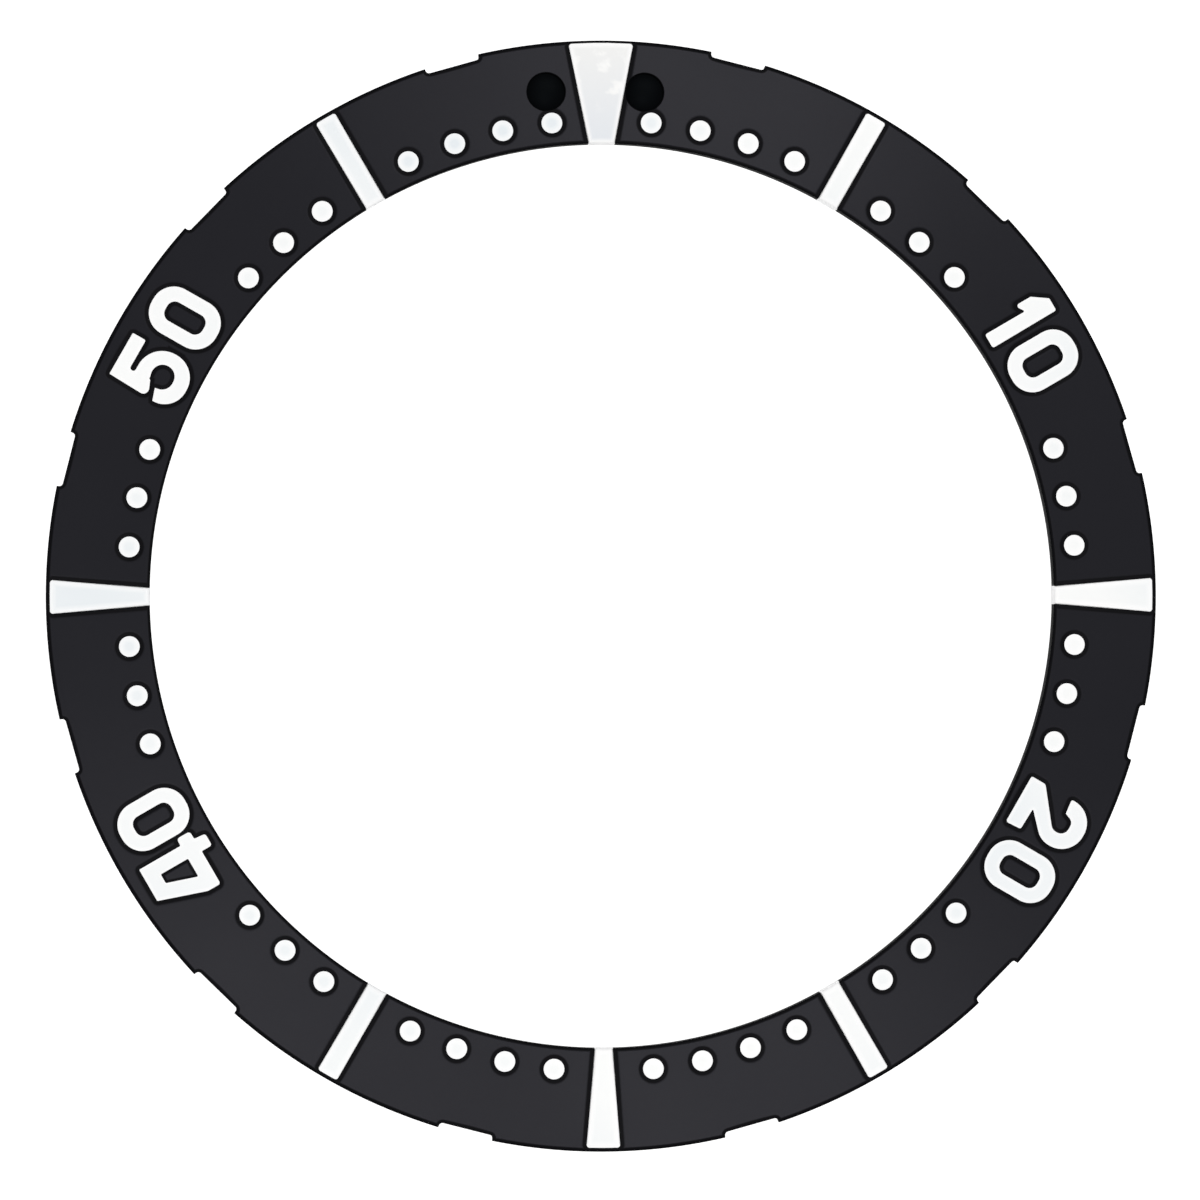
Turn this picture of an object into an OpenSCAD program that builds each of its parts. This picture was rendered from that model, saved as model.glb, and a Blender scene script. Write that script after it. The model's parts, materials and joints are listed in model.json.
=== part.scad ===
// Bezel insert of a diver's watch: a thin black ring with a conical face and a notched rim.
// Its minute marks are pockets sunk into the face, each filled flush with white.
// Millimetres. The origin is on the ring's axis at its flat back, +Z points out of the dial side,
// +Y to the 12 o'clock marker and +X to 3 o'clock. Minutes count clockwise from +Y.

/* [Ring] */
// Diameter over the rim
rim_d = 38; // [37:0.1:40]
// Width of the ring, from the bore to the rim
ring_w = 3.55; // [3:0.05:4.2]
// Height of the rim, where the cone of the face is lowest
rim_h = 0.75; // [0.6:0.05:0.95]
// Height at the bore, where the cone of the face is highest
bore_h = 1.3; // [1.1:0.05:1.6]
// Bevel that takes the sharpness off the ring's edges
edge_break = 0.05; // [0.02:0.01:0.08]

/* [Rim notches] */
// Width of a notch where it opens at the rim
notch_w = 1.92; // [1.4:0.02:2.6]
// Depth of a notch, from the rim to the middle of its straight floor
notch_depth = 0.21; // [0.1:0.01:0.3]
// Lean of a notch's end walls, in degrees
notch_flare = 8; // [0:1:20]
// Fillet between the floor of a notch and its end walls
notch_fillet = 0.12; // [0.05:0.01:0.2]
// Turn of the stamped blank against the dial marks, in degrees to the left
blank_turn = 0.6; // [0:0.01:1]

/* [Pockets and fills] */
// Depth of the pockets below the face
pocket_depth = 0.35; // [0.15:0.01:0.4]
// How far the surface of a fill lies below the face
fill_sink = 0.02; // [0.01:0.005:0.04]

/* [Five minute marks] */
// Bare land between the rim and the outer end of a mark
mark_rim_land = 0.14; // [0.1:0.01:0.3]
// Radius on the outer corners of a mark
mark_corner_r = 0.1; // [0.05:0.01:0.2]
// Width of the 12 o'clock marker at the bore
marker_bore_w = 0.91; // [0.6:0.01:1.2]
// Width of the 12 o'clock marker at its outer end
marker_rim_w = 2.2; // [1.6:0.02:2.6]
// Width of the parallel bars
bar_w = 0.75; // [0.5:0.05:1]
// Width of a quarter hour wedge at the bore
wedge_bore_w = 0.63; // [0.45:0.01:0.8]
// Width of a quarter hour wedge at its outer end
wedge_rim_w = 1.16; // [0.9:0.02:1.5]

/* [Minute dots] */
// Diameter of a minute dot
dot_d = 0.72; // [0.5:0.02:0.9]
// Bare land between the bore and a dot
dot_bore_land = 0.43; // [0.3:0.01:0.6]

/* [Numerals] */
// Bare land between the bore and the foot of the numerals
numeral_bore_land = 0.34; // [0.25:0.01:0.6]
// Bare land between the rim and the top of the numerals
numeral_rim_land = 0.62; // [0.4:0.01:0.9]
// Gap between the two digits of a numeral
digit_gap = 0.36; // [0.2:0.01:0.5]
// Gap between the crossbar of the 4 and the digit after it
crossbar_gap = 0.09; // [0.06:0.01:0.3]

/* [Locating holes] */
// Diameter of the two blind holes beside the 12 o'clock marker
hole_d = 1.28; // [0.9:0.02:1.4]
// Wall left between a hole and the dot or marker next to it
hole_land = 0.03; // [0.03:0.01:0.2]
// Metal left under the middle of a hole
hole_floor_t = 0.35; // [0.25:0.05:0.5]
// Radius of the dished floor of a hole
hole_dish_r = 1.2; // [1:0.1:3]

/* [Hidden] */

$fn = 180;
// Facets of a dot or a locating hole
small_fn = 40;
// Largest gap between a drawn corner arc and the true one
arc_tol = 0.003;
// Length by which cutting shapes run past what they cut
spare = 0.5;

black = "#29292d";
white = "#f1f3f6";

// Layout of the dial: 60 minutes, and one rim notch in the middle of each five minute sector
minute_angle = 360 / 60;
SECTORS = 12;
BARS = [5, 25, 35, 55];
WEDGES = [15, 30, 45];
// First and last minute of each run of dots
DOT_RUNS = [
    [1, 4], [6, 8], [12, 14], [16, 18], [22, 24], [26, 29],
    [31, 34], [36, 38], [42, 44], [46, 48], [52, 54], [56, 59]
];

rim_r = rim_d / 2;
bore_r = rim_r - ring_w;
face_slope = (bore_h - rim_h) / ring_w;
mark_end_r = rim_r - mark_rim_land;
dot_pitch_r = bore_r + dot_bore_land + dot_d / 2;
numeral_foot = bore_r + numeral_bore_land;
numeral_h = rim_r - numeral_rim_land - numeral_foot;

// Height of the conical face at a radius
function face_z(r) = rim_h + (rim_r - r) * face_slope;

// Half the width of a tapered mark at a radius
function half_w(r, bore_w, rim_w) =
    (bore_w + (rim_w - bore_w) * (r - bore_r) / (mark_end_r - bore_r)) / 2;

// The holes belong to the blank, and the right one just clears the marker's slanted side
hole_pitch_r = dot_pitch_r + (dot_d + hole_d) / 2 + hole_land;
marker_lean = atan((marker_rim_w - marker_bore_w) / 2 / (mark_end_r - bore_r));
hole_side = half_w(hole_pitch_r, marker_bore_w, marker_rim_w)
    + (hole_d / 2 + hole_land) / cos(marker_lean);
hole_angle = asin(hole_side / hole_pitch_r) + blank_turn;

// Outlines are lists of corners [x, y, radius], and these functions draw their corner arcs
function unit(v) = v / norm(v);
function turned(v, a) = [v.x * cos(a) - v.y * sin(a), v.x * sin(a) + v.y * cos(a)];
function arc_steps(r, sweep) = ceil(abs(sweep) / acos(1 - min(arc_tol / r, 0.5)) / 2);
function corner(before, at, after, r) =
    let (
        back = unit(before - at),
        ahead = unit(after - at),
        fold = acos(back * ahead),
        centre = at + unit(back + ahead) * r / sin(fold / 2),
        start = at + back * r / tan(fold / 2) - centre,
        sweep = (180 - fold) * sign(cross(at - before, after - at)),
        steps = r > 0 ? arc_steps(r, sweep) : 0
    )
    r > 0 ? [for (i = [0:steps]) centre + turned(start, sweep * i / steps)] : [at];
function flat(c) = [c.x, c.y];
function rounded(corners) =
    let (n = len(corners))
    [for (i = [0:n - 1]) each corner(
        flat(corners[(i + n - 1) % n]), flat(corners[i]), flat(corners[(i + 1) % n]),
        corners[i].z)];

// Digits in hundredths of a numeral's height, from the left edge and the baseline
ZERO = [[0, 1, 31], [0, 99, 31], [67, 99, 31], [67, 1, 31]];
ZERO_COUNTER = [[20, 22, 11], [20, 77.5, 11], [47, 77.5, 11], [47, 22, 11]];
ONE = [
    [13, 0, 2], [13, 62, 1], [0, 53, 4], [0, 79, 3], [14.5, 100, 2], [33.5, 100, 2],
    [34.5, 0, 2]
];
TWO = [
    [0, 0, 3], [0, 22, 6], [47.5, 60, 11], [47.5, 78, 11], [26, 78, 9], [21, 64.5, 1],
    [0, 62, 3], [1.5, 100.5, 33], [68.5, 100.5, 33], [68.5, 53, 29], [38, 24, 0.5],
    [68.5, 23, 3], [70, 0, 4]
];
FOUR = [
    [0, 15.5, 2], [0, 35, 2], [22, 100, 2], [70.5, 100, 2], [70.5, 37, 1], [81, 37, 5],
    [81, 16, 5], [69.5, 16, 1], [68, 0, 2], [49.5, 0, 2], [49.5, 15.5, 1]
];
FOUR_COUNTER = [[24, 37, 1], [37.5, 77.5, 1], [50, 77.5, 1], [50, 37, 1]];
FIVE = [
    [0, 0, 32], [0, 33, 1], [17.5, 39, 1], [20, 21.5, 15], [50, 21.5, 15], [50, 52, 15],
    [32, 52, 9], [1, 39, 8], [3, 100, 2], [66, 100, 2], [66, 79.3, 3], [22.5, 79.3, 3.3],
    [22.5, 72.5, 3.3], [69, 73, 36], [69, 0, 34.5]
];
// Each numeral: its minute, its first digit, that digit's counter, the gap before the zero,
// and how far the pair stands off centre in hundredths of the height
NUMERALS = [
    [10, ONE, [], digit_gap, -0.5],
    [20, TWO, [], digit_gap, -1],
    [40, FOUR, FOUR_COUNTER, crossbar_gap, 0],
    [50, FIVE, [], digit_gap, 1.5]
];
hundredth = numeral_h / 100;
function digit_w(corners) = max([for (c = corners) c.x]) * hundredth;

module at_minute(minute) {
    rotate(-minute * minute_angle) children();
}

// Flat outlines of the marks, as they stand at 12 o'clock

// A mark runs from inside the bore to an outer end that is concentric with the rim
module mark_outline(bore_w, rim_w) {
    inner_r = bore_r - spare;
    inner_half = half_w(inner_r, bore_w, rim_w);
    end_angle = asin(rim_w / 2 / mark_end_r);
    end_corner = [rim_w / 2, mark_end_r * cos(end_angle), mark_corner_r];
    end_arc = [for (part = [-0.4, 0, 0.4])
        [mark_end_r * sin(part * end_angle), mark_end_r * cos(part * end_angle), 0]];
    polygon(rounded(concat(
        [[-inner_half, inner_r, 0], [-end_corner.x, end_corner.y, end_corner.z]],
        end_arc,
        [end_corner, [inner_half, inner_r, 0]])));
}

module marker_outline() {
    mark_outline(marker_bore_w, marker_rim_w);
}

module bar_outline() {
    mark_outline(bar_w, bar_w);
}

module wedge_outline() {
    mark_outline(wedge_bore_w, wedge_rim_w);
}

module dot_outline() {
    translate([0, dot_pitch_r]) circle(d = dot_d, $fn = small_fn);
}

module digit_outline(corners, counter) {
    difference() {
        polygon(rounded(corners * hundredth));
        if (len(counter) > 0) polygon(rounded(counter * hundredth));
    }
}

// Left edge of a numeral, whose two digits are centred on its minute
function pair_left(numeral) =
    numeral[4] * hundredth - (digit_w(numeral[1]) + numeral[3] + digit_w(ZERO)) / 2;

module first_digit(i) {
    numeral = NUMERALS[i];
    at_minute(numeral[0]) translate([pair_left(numeral), numeral_foot])
        digit_outline(numeral[1], numeral[2]);
}

module zero_digit(i) {
    numeral = NUMERALS[i];
    zero_left = pair_left(numeral) + digit_w(numeral[1]) + numeral[3];
    at_minute(numeral[0]) translate([zero_left, numeral_foot])
        digit_outline(ZERO, ZERO_COUNTER);
}

module all_marks() {
    marker_outline();
    for (minute = BARS) at_minute(minute) bar_outline();
    for (minute = WEDGES) at_minute(minute) wedge_outline();
    for (i = [0:len(NUMERALS) - 1]) {
        first_digit(i);
        zero_digit(i);
    }
    for (run = DOT_RUNS, minute = [run[0]:run[1]]) at_minute(minute) dot_outline();
}

// Solids of revolution that the ring and its fills are cut from

module blank() {
    bore_top_r = bore_r + edge_break;
    rim_top_r = rim_r - edge_break;
    rotate_extrude() polygon([
        [bore_r, edge_break], [bore_top_r, 0], [rim_top_r, 0], [rim_r, edge_break],
        [rim_r, face_z(rim_top_r) - edge_break], [rim_top_r, face_z(rim_top_r)],
        [bore_top_r, face_z(bore_top_r)], [bore_r, face_z(bore_top_r) - edge_break]
    ]);
}

// Everything above the floors of the pockets
module above_pocket_floor() {
    inner_r = bore_r - spare;
    outer_r = rim_r + spare;
    top = bore_h + spare;
    rotate_extrude() polygon([
        [inner_r, face_z(inner_r) - pocket_depth], [outer_r, face_z(outer_r) - pocket_depth],
        [outer_r, top], [inner_r, top]
    ]);
}

// The layer that the fills occupy, flush with the bore and its bevel
module fill_layer() {
    bore_top_r = bore_r + edge_break;
    rotate_extrude() polygon([
        [bore_r, face_z(bore_r) - pocket_depth], [rim_r, face_z(rim_r) - pocket_depth],
        [rim_r, face_z(rim_r) - fill_sink], [bore_top_r, face_z(bore_top_r) - fill_sink],
        [bore_r, face_z(bore_top_r) - edge_break - fill_sink]
    ]);
}

// Cuts in the blank

module notch_outline() {
    floor_y = rim_r - notch_depth;
    floor_half = notch_w / 2 - notch_depth * tan(notch_flare);
    open_half = notch_w / 2 + spare * tan(notch_flare);
    polygon(rounded([
        [-open_half, rim_r + spare, 0], [-floor_half, floor_y, notch_fillet],
        [floor_half, floor_y, notch_fillet], [open_half, rim_r + spare, 0]
    ]));
}

module notches() {
    translate([0, 0, -spare]) linear_extrude(height = bore_h + 2 * spare)
        for (sector = [0:SECTORS - 1])
            rotate(blank_turn - (sector + 0.5) * 360 / SECTORS) notch_outline();
}

// A blind hole with a straight wall and a dished floor
module locating_hole() {
    intersection() {
        cylinder(d = hole_d, h = bore_h + spare, $fn = small_fn);
        translate([0, 0, hole_floor_t + hole_dish_r]) sphere(r = hole_dish_r);
    }
}

module locating_holes() {
    for (side = [-1, 1])
        rotate(blank_turn - side * hole_angle) translate([0, hole_pitch_r, 0]) locating_hole();
}

module pockets() {
    intersection() {
        above_pocket_floor();
        linear_extrude(height = bore_h + spare) all_marks();
    }
}

// The pieces

module insert_ring() {
    color(black) difference() {
        blank();
        notches();
        locating_holes();
        pockets();
    }
}

module fill() {
    color(white) intersection() {
        fill_layer();
        linear_extrude(height = bore_h + spare) children();
    }
}

module zero_marker() {
    fill() marker_outline();
}

module bar(i) {
    fill() at_minute(BARS[i]) bar_outline();
}

module wedge(i) {
    fill() at_minute(WEDGES[i]) wedge_outline();
}

module first_digit_fill(i) {
    fill() first_digit(i);
}

module zero_digit_fill(i) {
    fill() zero_digit(i);
}

module dots(i) {
    fill() for (minute = [DOT_RUNS[i][0]:DOT_RUNS[i][1]]) at_minute(minute) dot_outline();
}

insert_ring();
zero_marker();
bar(0);  // bar_05
bar(1);  // bar_25
bar(2);  // bar_35
bar(3);  // bar_55
wedge(0);  // wedge_15
wedge(1);  // wedge_30
wedge(2);  // wedge_45
first_digit_fill(0);  // numeral_10_one
zero_digit_fill(0);  // numeral_10_zero
first_digit_fill(1);  // numeral_20_two
zero_digit_fill(1);  // numeral_20_zero
first_digit_fill(2);  // numeral_40_four
zero_digit_fill(2);  // numeral_40_zero
first_digit_fill(3);  // numeral_50_five
zero_digit_fill(3);  // numeral_50_zero
dots(0);  // dots_01_04
dots(1);  // dots_06_08
dots(2);  // dots_12_14
dots(3);  // dots_16_18
dots(4);  // dots_22_24
dots(5);  // dots_26_29
dots(6);  // dots_31_34
dots(7);  // dots_36_38
dots(8);  // dots_42_44
dots(9);  // dots_46_48
dots(10);  // dots_52_54
dots(11);  // dots_56_59
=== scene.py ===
# %% [markdown]
# A bezel insert is the thin marked ring on a diver's watch. This lesson dresses a finished CAD
# model of one. Pieces could be modelled from nothing and fitted to real sizes afterwards, but the
# model has those sizes. So it is loaded first, as a fixed frame, and every piece made later lands
# on it.

# %% Load the frame
import json
import math

import bmesh
import bpy
from mathutils import Matrix, Vector, geometry

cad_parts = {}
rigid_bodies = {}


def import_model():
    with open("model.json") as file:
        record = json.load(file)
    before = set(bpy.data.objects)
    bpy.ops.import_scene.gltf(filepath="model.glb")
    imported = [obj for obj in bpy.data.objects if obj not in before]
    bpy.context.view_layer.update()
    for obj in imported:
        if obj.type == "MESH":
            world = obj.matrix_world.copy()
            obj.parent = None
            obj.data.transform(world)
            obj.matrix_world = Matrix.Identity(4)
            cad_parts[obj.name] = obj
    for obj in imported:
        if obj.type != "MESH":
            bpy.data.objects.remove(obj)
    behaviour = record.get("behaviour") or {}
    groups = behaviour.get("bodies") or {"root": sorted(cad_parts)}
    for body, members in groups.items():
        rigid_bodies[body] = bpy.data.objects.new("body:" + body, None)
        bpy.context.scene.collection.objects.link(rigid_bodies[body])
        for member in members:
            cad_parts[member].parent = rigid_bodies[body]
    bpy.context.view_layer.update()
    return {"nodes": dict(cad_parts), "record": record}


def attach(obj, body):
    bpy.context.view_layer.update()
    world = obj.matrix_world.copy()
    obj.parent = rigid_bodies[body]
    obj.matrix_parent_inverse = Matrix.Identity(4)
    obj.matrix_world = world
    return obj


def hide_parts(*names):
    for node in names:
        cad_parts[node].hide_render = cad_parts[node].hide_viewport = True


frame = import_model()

print("nodes in the frame:", len(frame["nodes"]))

# %% [markdown]
# The real ring is turned, so two radii and two heights say nearly everything about it. They could
# be typed again here, but a typed copy goes wrong when the model changes. So the radii are read
# from the ring's mounts, and the heights are measured on its mesh, beside the chamfers of its
# face.

# %% Sizes of the ring, in millimetres
MM = 0.001
EDGE_ZONE = 0.06
edge_break = 0.05

mounts = {mount["name"]: mount for mount in frame["record"]["mounts"]}
rim_r = mounts["rim"]["dims"]["r_mm"]
bore_r = mounts["bore"]["dims"]["r_mm"]


def ring_top(low_r, high_r):
    """Greatest height of the CAD ring between two radii."""
    points = [v.co / MM for v in frame["nodes"]["insert_ring"].data.vertices]
    return max(p.z for p in points if low_r <= p.xy.length <= high_r)


inner_top = ring_top(bore_r, bore_r + EDGE_ZONE)
outer_top = ring_top(rim_r - EDGE_ZONE, rim_r)
face_slope = (inner_top - outer_top) / (rim_r - bore_r - 2 * edge_break)


def face_z(r):
    """Height of the conical face at a radius."""
    return outer_top + (rim_r - edge_break - r) * face_slope


print(f"rim {rim_r}, bore {bore_r}, face from {face_z(bore_r):.3f} down to {face_z(rim_r):.3f}")

# %% [markdown]
# The marks are pockets cut in the face and filled with paint. They could be measured on the model
# too, but a mesh doesn't say what a size is for. So their sizes are written down by name, as a
# mark stands at 12 o'clock, with x to the right and y away from the centre. The photograph asks
# for dots a hair narrower and a marker a hair longer than the model's, hence the trim and the
# reach.

# %% Sizes of the marks, in millimetres
mark_rim_land = 0.14
mark_corner_r = 0.1
dot_bore_land = 0.43
dot_d = 0.72
pocket_depth = 0.35
fill_sink = 0.02
DOT_TRIM = 0.007
MARKER_REACH = 0.05

mark_end_r = rim_r - mark_rim_land
dot_pitch_r = bore_r + dot_bore_land + dot_d / 2
MARKER = {"bore_w": 0.91, "rim_w": 2.22, "end_r": mark_end_r + MARKER_REACH}
BAR = {"bore_w": 0.75, "rim_w": 0.75, "end_r": mark_end_r}
WEDGE = {"bore_w": 0.63, "rim_w": 1.16, "end_r": mark_end_r}
print(f"marks end {mark_end_r:.2f} from the axis, and dots stand {dot_pitch_r:.2f} from it")

# %% [markdown]
# The dial has sixty minutes, and each mark stands at one of them. A list of angles would do, but
# minutes are what a watchmaker reads, and they also name the model's nodes.

# %% Minutes of the marks
DEGREES_PER_MINUTE = 6.0
BARS = [5, 25, 35, 55]
WEDGES = [15, 30, 45]
DOT_RUNS = [
    (1, 4), (6, 8), (12, 14), (16, 18), (22, 24), (26, 29),
    (31, 34), (36, 38), (42, 44), (46, 48), (52, 54), (56, 59),
]
dot_minutes = [minute for first, last in DOT_RUNS for minute in range(first, last + 1)]
print("dots:", len(dot_minutes))

# %% [markdown]
# A digit on the real ring is cut by a small rotating cutter, so every corner of its outline has a
# radius. It could be a text object, but no typeface has just these forms, or a curve traced point
# by point, which is hard to change. So each outline is a short list of corners, x, y and radius,
# in hundredths of the numeral's height.

# %% Corners of the digits
ZERO = [(0, 1, 31), (0, 99, 31), (67, 99, 31), (67, 1, 31)]
ZERO_COUNTER = [(20, 22, 11), (20, 77.5, 11), (47, 77.5, 11), (47, 22, 11)]
ONE = [
    (13, 0, 3.5), (13, 62, 1), (0, 53, 4), (0, 79, 3), (14.5, 100, 3), (33.5, 100, 3), (34.5, 0, 3.5),
]
TWO = [
    (0, 0, 3), (0, 22, 6), (47.5, 60, 11), (47.5, 78, 11), (26, 78, 9), (21, 64.5, 1),
    (0, 62, 3), (1.5, 100.5, 33), (68.5, 100.5, 33), (68.5, 53, 29), (38, 24, 0.5),
    (68.5, 23, 3), (70, 0, 4),
]
FOUR = [
    (0, 15.5, 4), (0, 35, 5), (22, 100, 2), (70.5, 100, 2), (70.5, 37, 1), (81, 37, 5),
    (81, 16, 5), (69.5, 16, 1), (68, 0, 4), (49.5, 0, 4), (49.5, 15.5, 1),
]
FOUR_COUNTER = [(24, 37, 1), (37.5, 77.5, 1), (50, 77.5, 1), (50, 37, 1)]
FIVE = [
    (0, 0, 32), (0, 33, 1), (17.5, 39, 1), (20, 21.5, 15), (50, 21.5, 15), (50, 52, 15),
    (32, 52, 9), (1, 39, 8), (3, 100, 2), (66, 100, 2), (66, 79.3, 3), (22.5, 79.3, 3.3),
    (22.5, 72.5, 3.3), (69, 73, 36), (69, 0, 34.5),
]
print("corners of the 5:", len(FIVE))

# %% [markdown]
# A pocket's rounded lip needs room, and two digits have little. In the small counter of the 4 the
# lip gets only a share of its width. The gaps inside the 5 are narrower than two lips, and one
# cutter for the whole digit would cross itself there. Narrower lips would show, so its pocket is
# cut in three passes that overlap: the stem with its flag, the upper half of the bowl, and the
# hook.

# %% Tight places of the 4 and the 5
LIP_SHARE = {"four": 0.65}
FIVE_STEM = [
    (22.5, 48, 0), (1, 39, 8), (3, 100, 2), (66, 100, 2), (66, 79.3, 3), (22.5, 79.3, 3.3),
]
FIVE_BOWL = [(20, 52, 0), (20, 72.5, 0), (69, 73, 36), (69, 30, 0), (50, 30, 0), (50, 52, 15)]
FIVE_HOOK = [
    (0, 0, 32), (0, 33, 1), (17.5, 39, 1), (20, 21.5, 15), (50, 21.5, 15), (50, 45, 0),
    (69, 45, 0), (69, 0, 34.5),
]
PASSES = {"five": [FIVE_STEM, FIVE_BOWL, FIVE_HOOK]}
print("passes for the 5:", len(PASSES["five"]))

# %% [markdown]
# The dial has four numerals, each a digit and a zero. They could be placed by eye, but the real
# ones share one height and one gap, which only the 4's crossbar narrows. So a line of a table
# holds what differs: minute, name and outline of the first digit, its counter, the gap before the
# zero, and how far the pair stands off centre in hundredths of the height.

# %% Numerals
numeral_bore_land = 0.34
numeral_rim_land = 0.62
digit_gap = 0.36
crossbar_gap = 0.09

numeral_foot = bore_r + numeral_bore_land
numeral_h = rim_r - numeral_rim_land - numeral_foot
hundredth = numeral_h / 100
NUMERALS = [
    (10, "one", ONE, [], digit_gap, -0.5),
    (20, "two", TWO, [], digit_gap, -1),
    (40, "four", FOUR, FOUR_COUNTER, crossbar_gap, 0),
    (50, "five", FIVE, [], digit_gap, 1.5),
]
print(f"numerals are {numeral_h:.2f} high")

# %% [markdown]
# A pocket's edge is a line drawn at a small distance round the mark, and its rounded lip is a few
# such lines. Blender's Bevel could round a finished pocket, but it stumbles where two lips meet.
# So the one tool needed is an outline that can grow, beginning with one corner, which moves along
# the bisector of its sides.

# %% A corner that moves
SMALLEST_R = 0.02


def turned(point, degrees):
    """A flat point turned anticlockwise about the ring's axis."""
    return Matrix.Rotation(math.radians(degrees), 2) @ Vector(point)


def signed_area(points):
    """Area inside a flat outline, positive where it runs anticlockwise."""
    return sum(a[0] * b[1] - b[0] * a[1] for a, b in zip(points, points[1:] + points[:1])) / 2


def moved_corner(before, at, after, grow, side):
    """A corner whose sides have moved outwards, and the angle that the outline turns by there."""
    arriving = (at - before).normalized()
    leaving = (after - at).normalized()
    outward = Vector((arriving.y + leaving.y, -arriving.x - leaving.x)) * side
    turn = math.atan2(arriving.cross(leaving), arriving.dot(leaving)) * side
    return at + outward * grow / (1 + arriving.dot(leaving)), turn


def grown_radius(radius, grow, turn):
    """A corner's radius after growing: more outside, less inside, and never quite nothing."""
    return max(radius + math.copysign(grow, grow * turn), SMALLEST_R) if radius else 0


print("a square corner grown by 1 moves to",
      moved_corner(Vector((0, 1)), Vector((0, 0)), Vector((1, 0)), 1, 1)[0])

# %% [markdown]
# A whole outline grows corner by corner, and its arcs are drawn last. A general offset would be
# shorter to call, but it adds and drops points as it likes. Here each corner keeps its number of
# points whatever the growth, so grown outlines can be joined into walls point by point.

# %% Outlines that grow
ARC_TOLERANCE = 0.002
MOST_SAG = 0.5
FEWEST_STEPS = 2
ARC_ROOM = 0.99
TINY = 1e-9


def corner_arc(before, at, after, radius, steps):
    """Points of the arc that rounds a corner between two straight sides."""
    back = (before - at).normalized()
    ahead = (after - at).normalized()
    fold = back.angle(ahead)
    centre = at + (back + ahead).normalized() * radius / math.sin(fold / 2)
    start = at + back * radius / math.tan(fold / 2) - centre
    sweep = math.copysign(180 - math.degrees(fold), ahead.cross(back))
    return [centre + turned(start, sweep * i / steps) for i in range(steps + 1)]


def grown_outline(corners, grow):
    """Points of a rounded outline whose sides have all moved outwards by a distance."""
    side = math.copysign(1, signed_area(corners))
    flat = [Vector(corner[:2]) for corner in corners]
    radii = [corner[2] for corner in corners]
    following = [*range(1, len(flat)), 0]
    bent = [moved_corner(flat[i - 1], flat[i], flat[j], grow, side) for i, j in enumerate(following)]
    moved = [place for place, turn in bent]
    turns = [abs(turn) for place, turn in bent]
    new_radii = [grown_radius(radius, grow, turn) for radius, (place, turn) in zip(radii, bent)]
    takes = [radius * math.tan(turn / 2) for radius, turn in zip(new_radii, turns)]
    # Where two arcs would need more than the side between them, both get smaller
    room = [ARC_ROOM * ((moved[j] - moved[i]).length / max(takes[i] + takes[j], TINY))
            for i, j in enumerate(following)]
    points = []
    for i, j in enumerate(following):
        if radii[i] == 0:
            points.append(moved[i])
            continue
        arc_step = 2 * math.acos(1 - min(ARC_TOLERANCE / radii[i], MOST_SAG))
        steps = max(FEWEST_STEPS, math.ceil(turns[i] / arc_step))
        fitting = new_radii[i] * min(1, room[i], room[i - 1])
        points += corner_arc(moved[i - 1], moved[i], moved[j], fitting, steps)
    return points


def rounded_loop(corners, share=1, start=0):
    """A loop that starts a little grown, and then grows by a share of what it is asked."""
    return lambda grow: grown_outline(corners, start + grow * share)


unit_square = [(0, 0, 0.1), (1, 0, 0.1), (1, 1, 0.1), (0, 1, 0.1)]
print("area of a rounded square:", round(signed_area(rounded_loop(unit_square)(0)), 4))

# %% [markdown]
# Cutters and fills are the same kind of solid: a stack of grown outlines, each at its own height,
# closed at both ends. An extrusion would do for straight walls, but these have lips and soft
# edges. Heights depend on the distance from the axis, because all that is on the dial follows its
# cone. Each ring also says how near it is to the pocket's wall, which the paint will need.

# %% Solids through a stack of outlines
CIRCLE_POINTS = 72


def circle_loop(centre, radius):
    """A loop for a round outline."""
    spokes = [turned((1, 0), 360 * i / CIRCLE_POINTS) for i in range(CIRCLE_POINTS)]
    return lambda grow: [centre + spoke * (radius + grow) for spoke in spokes]


def level(z):
    """The same height everywhere."""
    return lambda r: z


def below_face(depth):
    """A height that follows the face, a depth below it."""
    return lambda r: face_z(r) - depth


def stacked_solid(loops, rings):
    """A closed mesh through rings of (grow, height function, edge value). The first loop is the
    outline, and any other loop is a hole in it."""
    vertices, faces, edge_values = [], [], []
    ends = {0: [], len(rings) - 1: []}
    for loop, way in zip(loops, [1] + [-1] * len(loops)):
        for i, (grow, height, edge) in enumerate(rings):
            points = [p.to_3d() for p in loop(grow * way)]
            for p in points:
                p.z = height(p.xy.length)
            first, count = len(vertices), len(points)
            vertices += points
            edge_values += [edge] * count
            if i in ends:
                ends[i].append(range(first, first + count))
            if i > 0:
                faces += [(first - count + k, first - count + (k + 1) % count,
                           first + (k + 1) % count, first + k) for k in range(count)]
    for borders in ends.values():
        order = [i for border in borders for i in border]
        flat = [[vertices[i].xy.to_3d() for i in border] for border in borders]
        faces += [[order[i] for i in face] for face in geometry.tessellate_polygon(flat)]
    return vertices, faces, edge_values


post = stacked_solid([circle_loop(Vector((0, bore_r)), 1)], [(0, level(0), 0), (0, below_face(0), 0)])
print("a plain round post has", len(post[0]), "points and", len(post[1]), "faces")

# %% [markdown]
# The marks that run from the bore to the rim share one outline: two straight sides, and ends on
# two circles about the axis. Each could have its own drawing, but only sizes differ, so one
# function draws them all. Two points part of the way along each end keep it on its circle.

# %% Outline of a long mark
END_PARTS = (-0.2, 0.2)


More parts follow.
